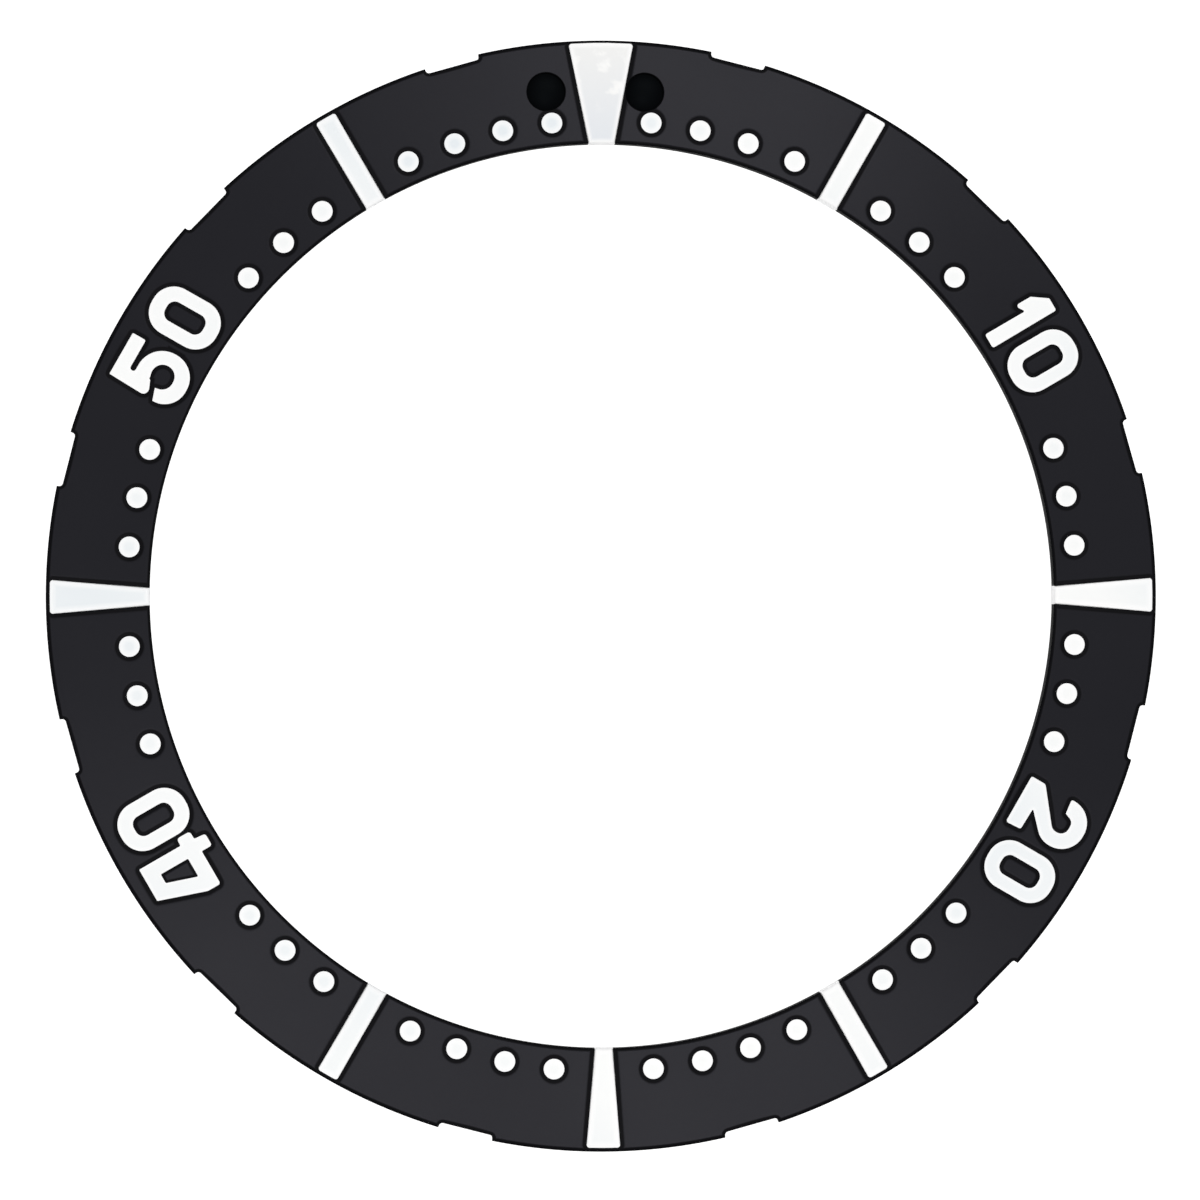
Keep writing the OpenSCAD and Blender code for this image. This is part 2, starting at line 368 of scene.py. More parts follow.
def mark_corners(mark, inner_r):
    """Corners of a mark at 12 o'clock, whose sides are set by its widths at bore and rim."""
    end_r = mark["end_r"]
    taper = (mark["rim_w"] - mark["bore_w"]) / (end_r - bore_r)
    inner_half = (mark["bore_w"] + taper * (inner_r - bore_r)) / 2
    inner_angle = math.degrees(math.asin(inner_half / inner_r))
    outer_angle = math.degrees(math.asin(mark["rim_w"] / 2 / end_r))

    def on_circle(r, degrees, corner_r):
        return (*turned((0, r), degrees), corner_r)

    inner = [on_circle(inner_r, -part * inner_angle, 0) for part in (-1, *END_PARTS, 1)]
    outer = [on_circle(end_r, part * outer_angle, 0) for part in END_PARTS]
    left = on_circle(end_r, outer_angle, mark_corner_r)
    right = on_circle(end_r, -outer_angle, mark_corner_r)
    return inner + [right] + outer + [left]


def mark_loop(mark, inner_r):
    """A loop for a long mark that starts at a given distance from the axis."""
    return rounded_loop(mark_corners(mark, inner_r))


print("corners of the marker:", len(mark_corners(MARKER, bore_r)))

# %% [markdown]
# A digit's corners are in hundredths, upright at the origin. A finished mesh could be turned, but
# a cutter's heights follow the cone, so the outline has to be in its place first. The strokes of
# the model's digits cover a little more than the photograph's, so each outline is trimmed by a
# hair all round.

# %% Digits in their places
DIGIT_TRIM = 0.013


def placed(corners, left, minute):
    """A digit's corners in millimetres, moved along the baseline and turned to a minute."""
    flat = [(x * hundredth + left, y * hundredth + numeral_foot) for x, y, r in corners]
    places = [turned(at, -minute * DEGREES_PER_MINUTE) for at in flat]
    return [(*place, r * hundredth) for place, (x, y, r) in zip(places, corners)]


def digit_places():
    """Every digit's name, outline, counter and left edge, and the minute it stands at."""
    for minute, name, outline, counter, gap, nudge in NUMERALS:
        width = max(x for x, y, r in outline) * hundredth
        zero_width = max(x for x, y, r in ZERO) * hundredth
        left = nudge * hundredth - (width + gap + zero_width) / 2
        yield name, outline, counter, left, minute
        yield "zero", ZERO, ZERO_COUNTER, left + width + gap, minute


def digit_loops(name, outline, counter, left, minute):
    """Loops of an outline and its counter, in place on the dial."""
    shapes = [(outline, 1, -DIGIT_TRIM), (counter, LIP_SHARE.get(name, 1), DIGIT_TRIM)]
    return [rounded_loop(placed(corners, left, minute), share, start)
            for corners, share, start in shapes if corners]


print("digits:", ", ".join(f"{name} at {minute}" for name, *rest, minute in digit_places()))

# %% [markdown]
# Every finish below is a tree of shader nodes. Nodes could be added and linked line by line, but
# one small function for both keeps each tree short enough to read. Colours are written in hex, as
# they look on a screen, and another function turns them to the linear light of shaders.

# %% Nodes and colours


def add_node(tree, kind, inputs=None, **settings):
    """Adds a node, sets its properties, and fills or links its inputs by name or number."""
    node = tree.nodes.new(kind)
    for key, value in settings.items():
        setattr(node, key, value)
    for key, value in (inputs or {}).items():
        if isinstance(value, bpy.types.NodeSocket):
            tree.links.new(value, node.inputs[key])
        else:
            node.inputs[key].default_value = value
    return node


def linear(hex_code):
    """An sRGB hex colour as linear red, green, blue and alpha."""
    channels = [int(hex_code[i:i + 2], 16) / 255 for i in (1, 3, 5)]
    return [c / 12.92 if c <= 0.04045 else ((c + 0.055) / 1.055) ** 2.4 for c in channels] + [1]


def new_material(name):
    """A material with an empty tree."""
    material = bpy.data.materials.new(name)
    material.use_nodes = True
    material.node_tree.nodes.clear()
    return material, material.node_tree


print("middle grey #808080 in linear light:", round(linear("#808080")[0], 3))

# %% [markdown]
# The ring is aluminium, turned, blasted with fine glass beads and anodised black. The dyed oxide
# takes the colour, a shade lighter here and there, and the metal under it keeps a soft metallic
# sheen. Tumbling before the bath rounds every edge. Those edges are painted a deeper and duller
# black, with less sheen at grazing angles: painted shade for the dark lines where edges turn from
# the light. Vertex paint could mark the edges, but they all lie below the cone of the face, and a
# little arithmetic on the object's own coordinates finds that. The two blind holes are painted a
# blue black, which is painted shade in their depth. The dents of the beads are finer than a pixel,
# so they are drawn coarser.

# %% Black anodised aluminium
BEAD_GRAIN = 0.05
CLOUD_SIZE = 5
BUMP_HEIGHT = 0.01
EDGE_DEPTH = (0.0002, 0.0085)
IN_HOLE = "in_hole"

anodised, tree = new_material("black_anodised_aluminium")
place = add_node(tree, "ShaderNodeTexCoord").outputs["Object"]
parts = add_node(tree, "ShaderNodeSeparateXYZ", {0: place}).outputs
flat = add_node(tree, "ShaderNodeCombineXYZ", {"X": parts["X"], "Y": parts["Y"]}).outputs[0]
radius = add_node(tree, "ShaderNodeVectorMath", {0: flat}, operation="LENGTH").outputs["Value"]
face = add_node(tree, "ShaderNodeMath", {0: radius, 1: -face_slope, 2: face_z(0) * MM},
                operation="MULTIPLY_ADD").outputs[0]
depth = add_node(tree, "ShaderNodeMath", {0: face, 1: parts["Z"]}, operation="SUBTRACT").outputs[0]
# Points below the cone of the face, on edges, lips and walls, get painted shade from this mask
edge = add_node(tree, "ShaderNodeMapRange", {
    "Value": depth, "From Min": EDGE_DEPTH[0] * MM, "From Max": EDGE_DEPTH[1] * MM,
}, interpolation_type="SMOOTHSTEP").outputs[0]
cloud = add_node(tree, "ShaderNodeTexNoise", {
    "Vector": place, "Scale": 1 / (CLOUD_SIZE * MM), "Detail": 3}).outputs["Fac"]
# Points deep in the blind holes get painted shade from this mask
hole = add_node(tree, "ShaderNodeAttribute", attribute_name=IN_HOLE).outputs["Fac"]
tone = linear("#222226")
# The cloud is the oxide's own tone, and the edge and hole colours are painted shade
for mask, dye_and_shade in ((cloud, "#26262a"), (edge, "#151517"), (hole, "#0c0e10")):
    tone = add_node(tree, "ShaderNodeMix", {"Factor": mask, "A": tone, "B": linear(dye_and_shade)},
                    data_type="RGBA").outputs[2]
grain = add_node(tree, "ShaderNodeTexNoise", {
    "Vector": place, "Scale": 1 / (BEAD_GRAIN * MM), "Detail": 2}).outputs["Fac"]
bump = add_node(tree, "ShaderNodeBump", {
    "Strength": 0.06, "Distance": BUMP_HEIGHT * MM, "Height": grain}).outputs["Normal"]
roughness = add_node(tree, "ShaderNodeMapRange", {
    "Value": edge, "To Min": 0.32, "To Max": 0.5}).outputs[0]
# Less sheen at grazing angles on edges and walls is painted shade as well
grazing = add_node(tree, "ShaderNodeMix", {
    "Factor": edge, "A": linear("#ffffff"), "B": linear("#9a9a9a")}, data_type="RGBA")
shader = add_node(tree, "ShaderNodeBsdfPrincipled", {
    "Base Color": tone, "Metallic": 1.0, "Roughness": roughness,
    "Specular Tint": grazing.outputs[2], "Normal": bump})
add_node(tree, "ShaderNodeOutputMaterial", {"Surface": shader.outputs[0]})
print(anodised.name, "has", len(tree.nodes), "nodes")

# %% [markdown]
# The marks are flooded with white epoxy paint that cures level with the face, satin white with
# faint streaks. Where it wets the wall of its pocket the coat is thickest and whitest, which the
# solids carry as a value on their points. In parts of the dial it is thinner, and the black under
# it makes the middle of a mark a bluish grey. Each mark could have its own colour, but a slow
# noise does it in one material, with a seed whose thin places fall where the photograph shows
# them.

# %% White cured epoxy
EDGE = "edge"
STREAK_SIZE = 0.25
THIN_COAT_SIZE = 10
THIN_COAT_SEED = 36
THIN_COAT_NOISE = (0.35, 0.65)
THIN_AT_WALL = 0.35
RESIN_IOR = 1.55

white_epoxy, tree = new_material("white_cured_epoxy")
place = add_node(tree, "ShaderNodeTexCoord").outputs["Object"]
border = add_node(tree, "ShaderNodeAttribute", attribute_name=EDGE).outputs["Fac"]
streaks = add_node(tree, "ShaderNodeTexNoise", {
    "Vector": place, "Scale": 1 / (STREAK_SIZE * MM), "Detail": 3}).outputs["Fac"]
coat = add_node(tree, "ShaderNodeTexNoise", {
    "Vector": place, "W": THIN_COAT_SEED, "Scale": 1 / (THIN_COAT_SIZE * MM), "Detail": 0,
}, noise_dimensions="4D").outputs["Fac"]
thin = add_node(tree, "ShaderNodeMapRange", {
    "Value": coat, "From Min": THIN_COAT_NOISE[0], "From Max": THIN_COAT_NOISE[1]}).outputs[0]
away = add_node(tree, "ShaderNodeMapRange", {
    "Value": border, "To Min": 1, "To Max": THIN_AT_WALL}).outputs[0]
bare = add_node(tree, "ShaderNodeMath", {0: thin, 1: away}, operation="MULTIPLY").outputs[0]
tone = linear("#f6f7f8")
for mask, paint in ((streaks, "#f9fafa"), (border, "#fcfcfd"), (bare, "#e4eaef")):
    tone = add_node(tree, "ShaderNodeMix", {"Factor": mask, "A": tone, "B": linear(paint)},
                    data_type="RGBA").outputs[2]
shader = add_node(tree, "ShaderNodeBsdfPrincipled", {
    "Base Color": tone, "Roughness": 0.42, "IOR": RESIN_IOR})
add_node(tree, "ShaderNodeOutputMaterial", {"Surface": shader.outputs[0]})
print(white_epoxy.name, "has", len(tree.nodes), "nodes")

# %% [markdown]
# The 12 o'clock marker is filled with luminous compound: a clear binder thick with pale glowing
# crystals. It settles unevenly, so it is a pale grey with lighter patches where the marker is
# wide, and plain and a little bluer towards the bore. Patches could be painted, but a noise looks
# as chancy as the real ones. The crystals are too fine to see, so they are drawn coarser.

# %% Luminous compound
PATCH_SIZE = 0.7
PATCH_SEED = 4
PATCH_NOISE = (0.56, 0.7)
PATCHES_FROM = (0.3, 0.5)
CRYSTAL_SIZE = 0.12

compound, tree = new_material("luminous_compound")
place = add_node(tree, "ShaderNodeTexCoord").outputs["Object"]
border = add_node(tree, "ShaderNodeAttribute", attribute_name=EDGE).outputs["Fac"]
patches = add_node(tree, "ShaderNodeTexNoise", {
    "Vector": place, "W": PATCH_SEED, "Scale": 1 / (PATCH_SIZE * MM), "Detail": 3,
}, noise_dimensions="4D").outputs["Fac"]
light = add_node(tree, "ShaderNodeMapRange", {
    "Value": patches, "From Min": PATCH_NOISE[0], "From Max": PATCH_NOISE[1],
}, interpolation_type="SMOOTHSTEP").outputs[0]
along = add_node(tree, "ShaderNodeSeparateXYZ", {0: place}).outputs["Y"]
outward = add_node(tree, "ShaderNodeMapRange", {
    "Value": along, "From Min": bore_r * MM, "From Max": mark_end_r * MM}).outputs[0]
wide_part = add_node(tree, "ShaderNodeMapRange", {
    "Value": outward, "From Min": PATCHES_FROM[0], "From Max": PATCHES_FROM[1]}).outputs[0]
light = add_node(tree, "ShaderNodeMath", {0: light, 1: wide_part}, operation="MULTIPLY").outputs[0]
tone = linear("#e1e5eb")
for mask, shade in ((outward, "#efefef"), (light, "#f9f9f9"), (border, "#fafafb")):
    tone = add_node(tree, "ShaderNodeMix", {"Factor": mask, "A": tone, "B": linear(shade)},
                    data_type="RGBA").outputs[2]
crystals = add_node(tree, "ShaderNodeTexNoise", {
    "Vector": place, "Scale": 1 / (CRYSTAL_SIZE * MM), "Detail": 2}).outputs["Fac"]
bump = add_node(tree, "ShaderNodeBump", {
    "Strength": 0.1, "Distance": BUMP_HEIGHT * MM, "Height": crystals}).outputs["Normal"]
shader = add_node(tree, "ShaderNodeBsdfPrincipled", {
    "Base Color": tone, "Roughness": 0.5, "IOR": RESIN_IOR, "Normal": bump})
add_node(tree, "ShaderNodeOutputMaterial", {"Surface": shader.outputs[0]})
print(compound.name, "has", len(tree.nodes), "nodes")

# %% [markdown]
# Dots, bars, wedges and notches repeat round the dial. A loop could copy each of them, but a
# Geometry Nodes tree says the rule once and shows its sizes as named inputs. Each of its points
# carries a minute, and a blank made for 12 o'clock is set on every point and turned to its
# minute.

# %% Tree that sets blanks round the dial
MINUTE = "minute"


def new_geometry_tree(name, inputs):
    """A geometry tree with a Geometry input, the named inputs and a Geometry output."""
    tree = bpy.data.node_groups.new(name, "GeometryNodeTree")
    tree.interface.new_socket("Geometry", in_out="OUTPUT", socket_type="NodeSocketGeometry")
    for key, kind in {"Geometry": "Geometry", **inputs}.items():
        tree.interface.new_socket(key, in_out="INPUT", socket_type="NodeSocket" + kind)
    return tree, tree.nodes.new("NodeGroupInput").outputs


def end_tree(tree, geometry, material):
    """Ends a geometry tree with real copies instead of instances, and with their material."""
    joined = add_node(tree, "GeometryNodeRealizeInstances", {0: geometry}).outputs[0]
    finished = add_node(tree, "GeometryNodeSetMaterial", {
        "Geometry": joined, "Material": material}).outputs[0]
    add_node(tree, "NodeGroupOutput", {0: finished})
    return tree


tree, given = new_geometry_tree("Around the dial", {
    "Blank": "Object", "Degrees per Minute": "Float", "Turn": "Float", "Material": "Material"})
minute = add_node(tree, "GeometryNodeInputNamedAttribute", {"Name": MINUTE}).outputs["Attribute"]
clockwise = add_node(tree, "ShaderNodeMath", {0: minute, 1: given["Degrees per Minute"]},
                     operation="MULTIPLY").outputs[0]
degrees = add_node(tree, "ShaderNodeMath", {0: given["Turn"], 1: clockwise},
                   operation="SUBTRACT").outputs[0]
angle = add_node(tree, "ShaderNodeMath", {0: degrees}, operation="RADIANS").outputs[0]
euler = add_node(tree, "ShaderNodeCombineXYZ", {"Z": angle}).outputs[0]
rotation = add_node(tree, "FunctionNodeEulerToRotation", {0: euler}).outputs[0]
blank = add_node(tree, "GeometryNodeObjectInfo", {"Object": given["Blank"]}).outputs["Geometry"]
copies = add_node(tree, "GeometryNodeInstanceOnPoints", {
    "Points": given["Geometry"], "Instance": blank, "Rotation": rotation}).outputs[0]
dial_tree = end_tree(tree, copies, given["Material"])
print(dial_tree.name, "has", len(dial_tree.nodes), "nodes")

# %% [markdown]
# The model is exported without its trees, so a tree's result has to end as a plain mesh. Applying
# the modifier by an operator would need the right selection each time. So the evaluated object is
# read as a new mesh, which takes the place of the old one.

# %% Objects made from solids and trees


def new_object(name, vertices, faces, edge_values=()):
    """An object at the origin from points in millimetres, with its faces turned outwards."""
    mesh = bpy.data.meshes.new(name)
    mesh.from_pydata([Vector(v) * MM for v in vertices], [], faces)
    if edge_values:
        mesh.attributes.new(EDGE, "FLOAT", "POINT").data.foreach_set("value", edge_values)
    shell = bmesh.new()
    shell.from_mesh(mesh)
    bmesh.ops.recalc_face_normals(shell, faces=shell.faces)
    shell.to_mesh(mesh)
    open_edges = sum(not e.is_manifold for e in shell.edges)
    shell.free()
    made = bpy.data.objects.new(name, mesh)
    bpy.context.scene.collection.objects.link(made)
    if open_edges and len(faces) > 1:
        print("open edges in", name, open_edges)
    return made


def run_tree(item, tree, values):
    """Runs a tree on an object with the given inputs, and leaves a plain mesh behind."""
    modifier = item.modifiers.new(tree.name, "NODES")
    modifier.node_group = tree
    for socket in tree.interface.items_tree:
        if socket.in_out == "INPUT" and socket.name in values:
            modifier[socket.identifier] = values[socket.name]
    graph = bpy.context.evaluated_depsgraph_get()
    result = bpy.data.meshes.new_from_object(item.evaluated_get(graph), depsgraph=graph)
    item.modifiers.clear()
    item.data = result


def repeated(name, solid, minutes, material, turn=0.0):
    """Copies of a solid made for 12 o'clock, one at each minute, as one plain mesh."""
    blank = new_object(name + "_blank", *solid)
    points = new_object(name, [(0, 0, 0)] * len(minutes), [])
    minute = points.data.attributes.new(MINUTE, "FLOAT", "POINT")
    minute.data.foreach_set("value", minutes)
    run_tree(points, dial_tree, {
        "Blank": blank, "Degrees per Minute": DEGREES_PER_MINUTE, "Turn": turn,
        "Material": material})
    bpy.data.objects.remove(blank)
    return points


print("meshes so far:", len(bpy.data.meshes))

# %% [markdown]
# Now the cutters. A pocket has a straight wall and a rounded lip. A bevel afterwards would have to
# find every edge again, so its cutter has the form already: a straight stem that flares at the
# face. The flare goes on a little above it, so that the cut crosses the surface cleanly instead of
# only touching it.

# %% Form of a pocket cutter
LIP_W = 0.19
LIP_DEPTH = 0.032
LIP_PARTS = (1, 0.85, 0.65, 0.45, 0.2, -0.3)
CUTTER_TOP = 2
PAST_RING = 0.5


def lip(part, width, depth):
    """Grow and height of a rounded lip, from 1 at the wall to 0 at the face."""
    return width * (1 - part), below_face(depth * (part + part * part) / 2)


def cutter_rings(foot, flare):
    """Rings of a cutter that carries its flare on to the top."""
    rings = [*foot, *flare, (flare[-1][0], level(CUTTER_TOP))]
    return [(grow, height, 0) for grow, height in rings]


pocket_flare = [lip(part, LIP_W, LIP_DEPTH) for part in LIP_PARTS]
pocket_rings = cutter_rings([(0, below_face(pocket_depth))], pocket_flare)
print("rings of a pocket cutter:", len(pocket_rings))

# %% [markdown]
# One cutter stands in each pocket, and three in that of the 5. They could cut the ring one after
# another, but a tree can cut with a whole collection at once, so they wait in one. The long marks
# run out over the bore, so their cutters start well inside it.

# %% Pocket cutters
dot_loop = circle_loop(Vector((0, dot_pitch_r)), dot_d / 2 - DOT_TRIM)
cutters = bpy.data.collections.new("cutters")
bpy.context.scene.collection.children.link(cutters)


def keep_as_cutter(item):
    """Moves an object to the cutters."""
    cutters.objects.link(item)
    bpy.context.scene.collection.objects.unlink(item)


for name, mark, minutes in (("bar", BAR, BARS), ("wedge", WEDGE, WEDGES), ("marker", MARKER, [0])):
    solid = stacked_solid([mark_loop(mark, bore_r - PAST_RING)], pocket_rings)
    keep_as_cutter(repeated(name + "_cutter", solid, minutes, anodised))
dot_solid = stacked_solid([dot_loop], pocket_rings)
keep_as_cutter(repeated("dot_cutter", dot_solid, dot_minutes, anodised))
for name, outline, counter, left, minute in digit_places():
    for corners in PASSES.get(name, [outline]):
        loops = digit_loops(name, corners, counter, left, minute)
        keep_as_cutter(new_object(name + "_cutter", *stacked_solid(loops, pocket_rings)))

# %% [markdown]
# The twelve notches in the rim are stamped, one in the middle of each five minute sector. The
# blank was turned a little against the dial when it was marked, so they all stand off by that
# angle. The ring's section can't hold them, because it never changes on its way round, so they are
# cut as well, with the same flare on top and a narrow edge at the foot.

# %% Notch cutters
notch_w = 1.92
notch_depth = 0.21
notch_flare = 8
notch_fillet = 0.12
blank_turn = 0.6
NOTCH_MINUTES = [2.5 + 5 * sector for sector in range(12)]
NOTCH_EDGE = 0.07
NOTCH_LIP_W = 0.14
NOTCH_LIP_DEPTH = 0.04
NOTCH_FOOT = ((1, -PAST_RING), (1, -0.01), (0.25, 0.02), (0, 0.06))

flare_slope = math.tan(math.radians(notch_flare))
notch_floor = rim_r - notch_depth
notch_open = rim_r + PAST_RING
floor_half = notch_w / 2 - notch_depth * flare_slope
open_half = notch_w / 2 + PAST_RING * flare_slope
notch_corners = [
    (-open_half, notch_open, 0), (-floor_half, notch_floor, notch_fillet),
    (floor_half, notch_floor, notch_fillet), (open_half, notch_open, 0),
]
notch_foot = [(NOTCH_EDGE * part, level(z)) for part, z in NOTCH_FOOT]
notch_flares = [lip(part, NOTCH_LIP_W, NOTCH_LIP_DEPTH) for part in LIP_PARTS]
notch_solid = stacked_solid([rounded_loop(notch_corners)], cutter_rings(notch_foot, notch_flares))
keep_as_cutter(repeated("notch_cutter", notch_solid, NOTCH_MINUTES, anodised, blank_turn))
print("notches:", len(NOTCH_MINUTES))

# %% [markdown]
# Two blind holes beside the marker located the blank when it was marked, so they turned with it.
# A drill would leave a cone, and a flat cutter a flat floor. The middle of the real floors is a
# little lighter, as in a dish left by a ball ended cutter, so the cutter's foot is dished. Each
# hole has its angle from the marker, and the left one also stands a hair further out.

# %% Hole cutters
hole_r = 0.64
hole_floor = 0.35
hole_dish_r = 1.2
hole_land = 0.03
HOLES = ((5.65, 0.06), (-5.52, 0))
DISH_PARTS = (0.1, 0.3, 0.5, 0.7, 0.85, 0.95, 1)
HOLE_RIM = ((0, 0.05), (0.015, 0.02), (0.06, -0.01))

hole_pitch_r = dot_pitch_r + dot_d / 2 + hole_r + hole_land
hole_centres = [turned((0, hole_pitch_r + further_out), blank_turn + hole_angle)
                for hole_angle, further_out in HOLES]


def dish_z(part):
    """Height of the dished floor at a part of the hole's radius."""
    return hole_floor + hole_dish_r - math.sqrt(hole_dish_r ** 2 - (hole_r * part) ** 2)


dish = [(hole_r * (part - 1), level(dish_z(part))) for part in DISH_PARTS]
hole_rings = cutter_rings(dish, [(grow, below_face(depth)) for grow, depth in HOLE_RIM])
for centre in hole_centres:
    keep_as_cutter(new_object("hole_cutter", *stacked_solid([circle_loop(centre, hole_r)], hole_rings)))

# %% [markdown]
# The ring itself follows a rule: one section, swept round the axis, then cut. Spinning a drawn
# section would make it too, but a tree shows its radii and heights as inputs, and cuts it in the
# same run. The section is a quadrilateral with filleted corners, and the sweep hangs below the
# path, so heights go in with their signs changed. Cuts leave some edges far too short to see, and
# merging by distance closes those.

# %% Tree of the ring
LAST_CORNER_AT_BORE = 1
FILLET_STEPS = 6

tree, given = new_geometry_tree("Cut ring", {
    "Bore Radius": "Float", "Rim Radius": "Float", "Height at Bore": "Float",
    "Height at Rim": "Float", "Edge Radius at Bore": "Float", "Edge Radius at Rim": "Float",
    "Steps Around": "Int", "Cutters": "Collection", "Shortest Edge": "Float",
    "Material": "Material"})
width = add_node(tree, "ShaderNodeMath", {0: given["Rim Radius"], 1: given["Bore Radius"]},
                 operation="SUBTRACT").outputs[0]
inner = add_node(tree, "ShaderNodeMath", {0: given["Height at Bore"], 1: -1}, operation="MULTIPLY")
outer = add_node(tree, "ShaderNodeMath", {0: given["Height at Rim"], 1: -1}, operation="MULTIPLY")
corners = [{}, {"Y": inner.outputs[0]}, {"X": width, "Y": outer.outputs[0]}, {"X": width}]
points = {f"Point {i + 1}": add_node(tree, "ShaderNodeCombineXYZ", corner).outputs[0]
          for i, corner in enumerate(corners)}
section = add_node(tree, "GeometryNodeCurvePrimitiveQuadrilateral", points, mode="POINTS").outputs[0]
corner = add_node(tree, "GeometryNodeInputIndex").outputs[0]
at_rim = add_node(tree, "ShaderNodeMath", {0: corner, 1: LAST_CORNER_AT_BORE},
                  operation="GREATER_THAN").outputs[0]
edge_radius = add_node(tree, "ShaderNodeMix", {
    "Factor": at_rim, "A": given["Edge Radius at Bore"], "B": given["Edge Radius at Rim"]})
filleted = add_node(tree, "GeometryNodeFilletCurve", {
    "Curve": section, "Count": FILLET_STEPS, "Radius": edge_radius.outputs[0]},
    mode="POLY").outputs[0]
path = add_node(tree, "GeometryNodeCurvePrimitiveCircle", {
    "Resolution": given["Steps Around"], "Radius": given["Bore Radius"]}).outputs["Curve"]
blank = add_node(tree, "GeometryNodeCurveToMesh", {
    "Curve": path, "Profile Curve": filleted}).outputs[0]
tools = add_node(tree, "GeometryNodeCollectionInfo", {
    "Collection": given["Cutters"], "Separate Children": True}).outputs[0]
cut = add_node(tree, "GeometryNodeMeshBoolean", {"Mesh 1": blank, "Mesh 2": tools},
               operation="DIFFERENCE", solver="MANIFOLD").outputs["Mesh"]
clean = add_node(tree, "GeometryNodeMergeByDistance", {
    "Geometry": cut, "Distance": given["Shortest Edge"]}).outputs[0]
ring_tree = end_tree(tree, clean, given["Material"])
print(ring_tree.name, "has", len(ring_tree.nodes), "nodes")

# %% [markdown]
# The section is swept in three hundred and sixty steps, one degree each, which keeps the round
# edges within a thousandth of a millimetre of true circles. Finer steps would show no better. Then
# the points inside the blind holes are marked, so that the finish can paint shade into those walls
# and floors.

# %% Sweep and cut
BORE_ROUND = 0.11
RIM_ROUND = 0.19
STEPS_AROUND = 360
SHORTEST_EDGE = 0.0001
BESIDE_WALL = 0.01
BELOW_HOLE_RIM = 0.04


def mark_holes(item):
    """Writes 1 at the points of the ring that lie well inside a hole, and 0 at all others."""
    inside = []
    for vertex in item.data.vertices:
        at = vertex.co / MM
        near = min((at.xy - centre).length for centre in hole_centres) < hole_r + BESIDE_WALL
        inside.append(near and hole_floor / 2 < at.z < face_z(at.xy.length) - BELOW_HOLE_RIM)
    item.data.attributes.new(IN_HOLE, "FLOAT", "POINT").data.foreach_set("value", inside)
    return sum(inside)


ring = new_object("bezel_ring", [(0, 0, 0)], [])
run_tree(ring, ring_tree, {
    "Bore Radius": bore_r * MM, "Rim Radius": rim_r * MM, "Height at Bore": face_z(bore_r) * MM,
    "Height at Rim": face_z(rim_r) * MM, "Edge Radius at Bore": BORE_ROUND * MM,
    "Edge Radius at Rim": RIM_ROUND * MM, "Steps Around": STEPS_AROUND, "Cutters": cutters,
    "Shortest Edge": SHORTEST_EDGE * MM, "Material": anodised,
})
for tool in list(cutters.objects):
    bpy.data.objects.remove(tool)
bpy.data.collections.remove(cutters)
print("points in the holes:", mark_holes(ring))

# %% [markdown]
# Cutting leaves long narrow faces on the cone. If their normals were averaged with those of the
# lips, every lip would drag a streak of shade across the face, and a finer mesh would only thin
# the streaks. So points on the cone get the cone's own normal, and only the lips turn away from
# it. Every piece then gets its body, and the nodes it stands for are hidden.

# %% Finish of the ring
SHARP_ANGLE = 35
ON_CONE = 0.0005


def shade_from_cone(item, depth):
    """Smooth shading, with the cone's own normal at points that lie a depth below the face."""
    mesh = item.data
    mesh.shade_smooth()
    mesh.set_sharp_from_angle(angle=math.radians(SHARP_ANGLE))
    normals = [corner.vector.copy() for corner in mesh.corner_normals]
    smooth = math.cos(math.radians(SHARP_ANGLE))
    for face in mesh.polygons:
        for corner, vertex in zip(face.loop_indices, face.vertices):
            at = mesh.vertices[vertex].co / MM
            around = at.xy.normalized() * face_slope
            cone = Vector((*around, 1)).normalized()
            gap = face_z(at.xy.length) - depth - at.z
            if abs(gap) < ON_CONE and face.normal.dot(cone) > smooth:
                normals[corner] = cone
    mesh.normals_split_custom_set(normals)


def finish_piece(item, nodes, depth):
    """Gives a finished piece its shading and body, and hides the CAD nodes it stands for."""
    shade_from_cone(item, depth)
    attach(item, "root")
    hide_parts(*nodes)
    triangles = sum(len(face.vertices) - 2 for face in item.data.polygons)
    print(f"{item.name}: {triangles} triangles, stands for {len(nodes)} nodes")


finish_piece(ring, ["insert_ring"], 0)

# %% [markdown]
# A fill is the paint in a pocket: the same outline without the flare. Its wall meets the pocket's,
# and its top lies a hair below the face, with a soft edge where the paint wets the wall. A top
# parallel to the face would do but for the bore, where it has to follow the ring's rounded edge.
# A border lists distances from the wall, with how much of the whiter coat is left at each.

# %% Top and border of a fill
PAINT_OVER_LIP = 0.004
FILL_EDGE_DEPTH = LIP_DEPTH - PAINT_OVER_LIP
FILL_ROUND = (0.015, 0.004)
BORDER = ((0.045, 1), (0.1, 0.9), (0.17, 0.5), (0.24, 0))
DIGIT_BORDER = ((0.045, 1), (0.1, 0.7), (0.15, 0.3))
MARKER_BORDER = ((0.045, 1), (0.08, 0.9), (0.12, 0.5), (0.2, 0))


def below_top(depth):
    """Height below the ring's dressed top, which rounds over at the bore."""
    def height(r):
        into_edge = min(max(bore_r + BORE_ROUND - r, 0) / BORE_ROUND, 1)
        drop = BORE_ROUND * (1 - math.sqrt(1 - into_edge ** 2))
        return face_z(max(r, bore_r + BORE_ROUND)) - drop - depth
    return height


def fill_rings(border):
    """Rings of a fill, whose border value falls off as its list of (distance, value) says."""
    top = below_top(fill_sink)
    inward, deeper = FILL_ROUND
    edge = [(0, below_face(pocket_depth), 1), (0, below_top(FILL_EDGE_DEPTH), 1),
            (-inward, below_top(fill_sink + deeper), 1)]
    return edge + [(-distance, top, value) for distance, value in border]


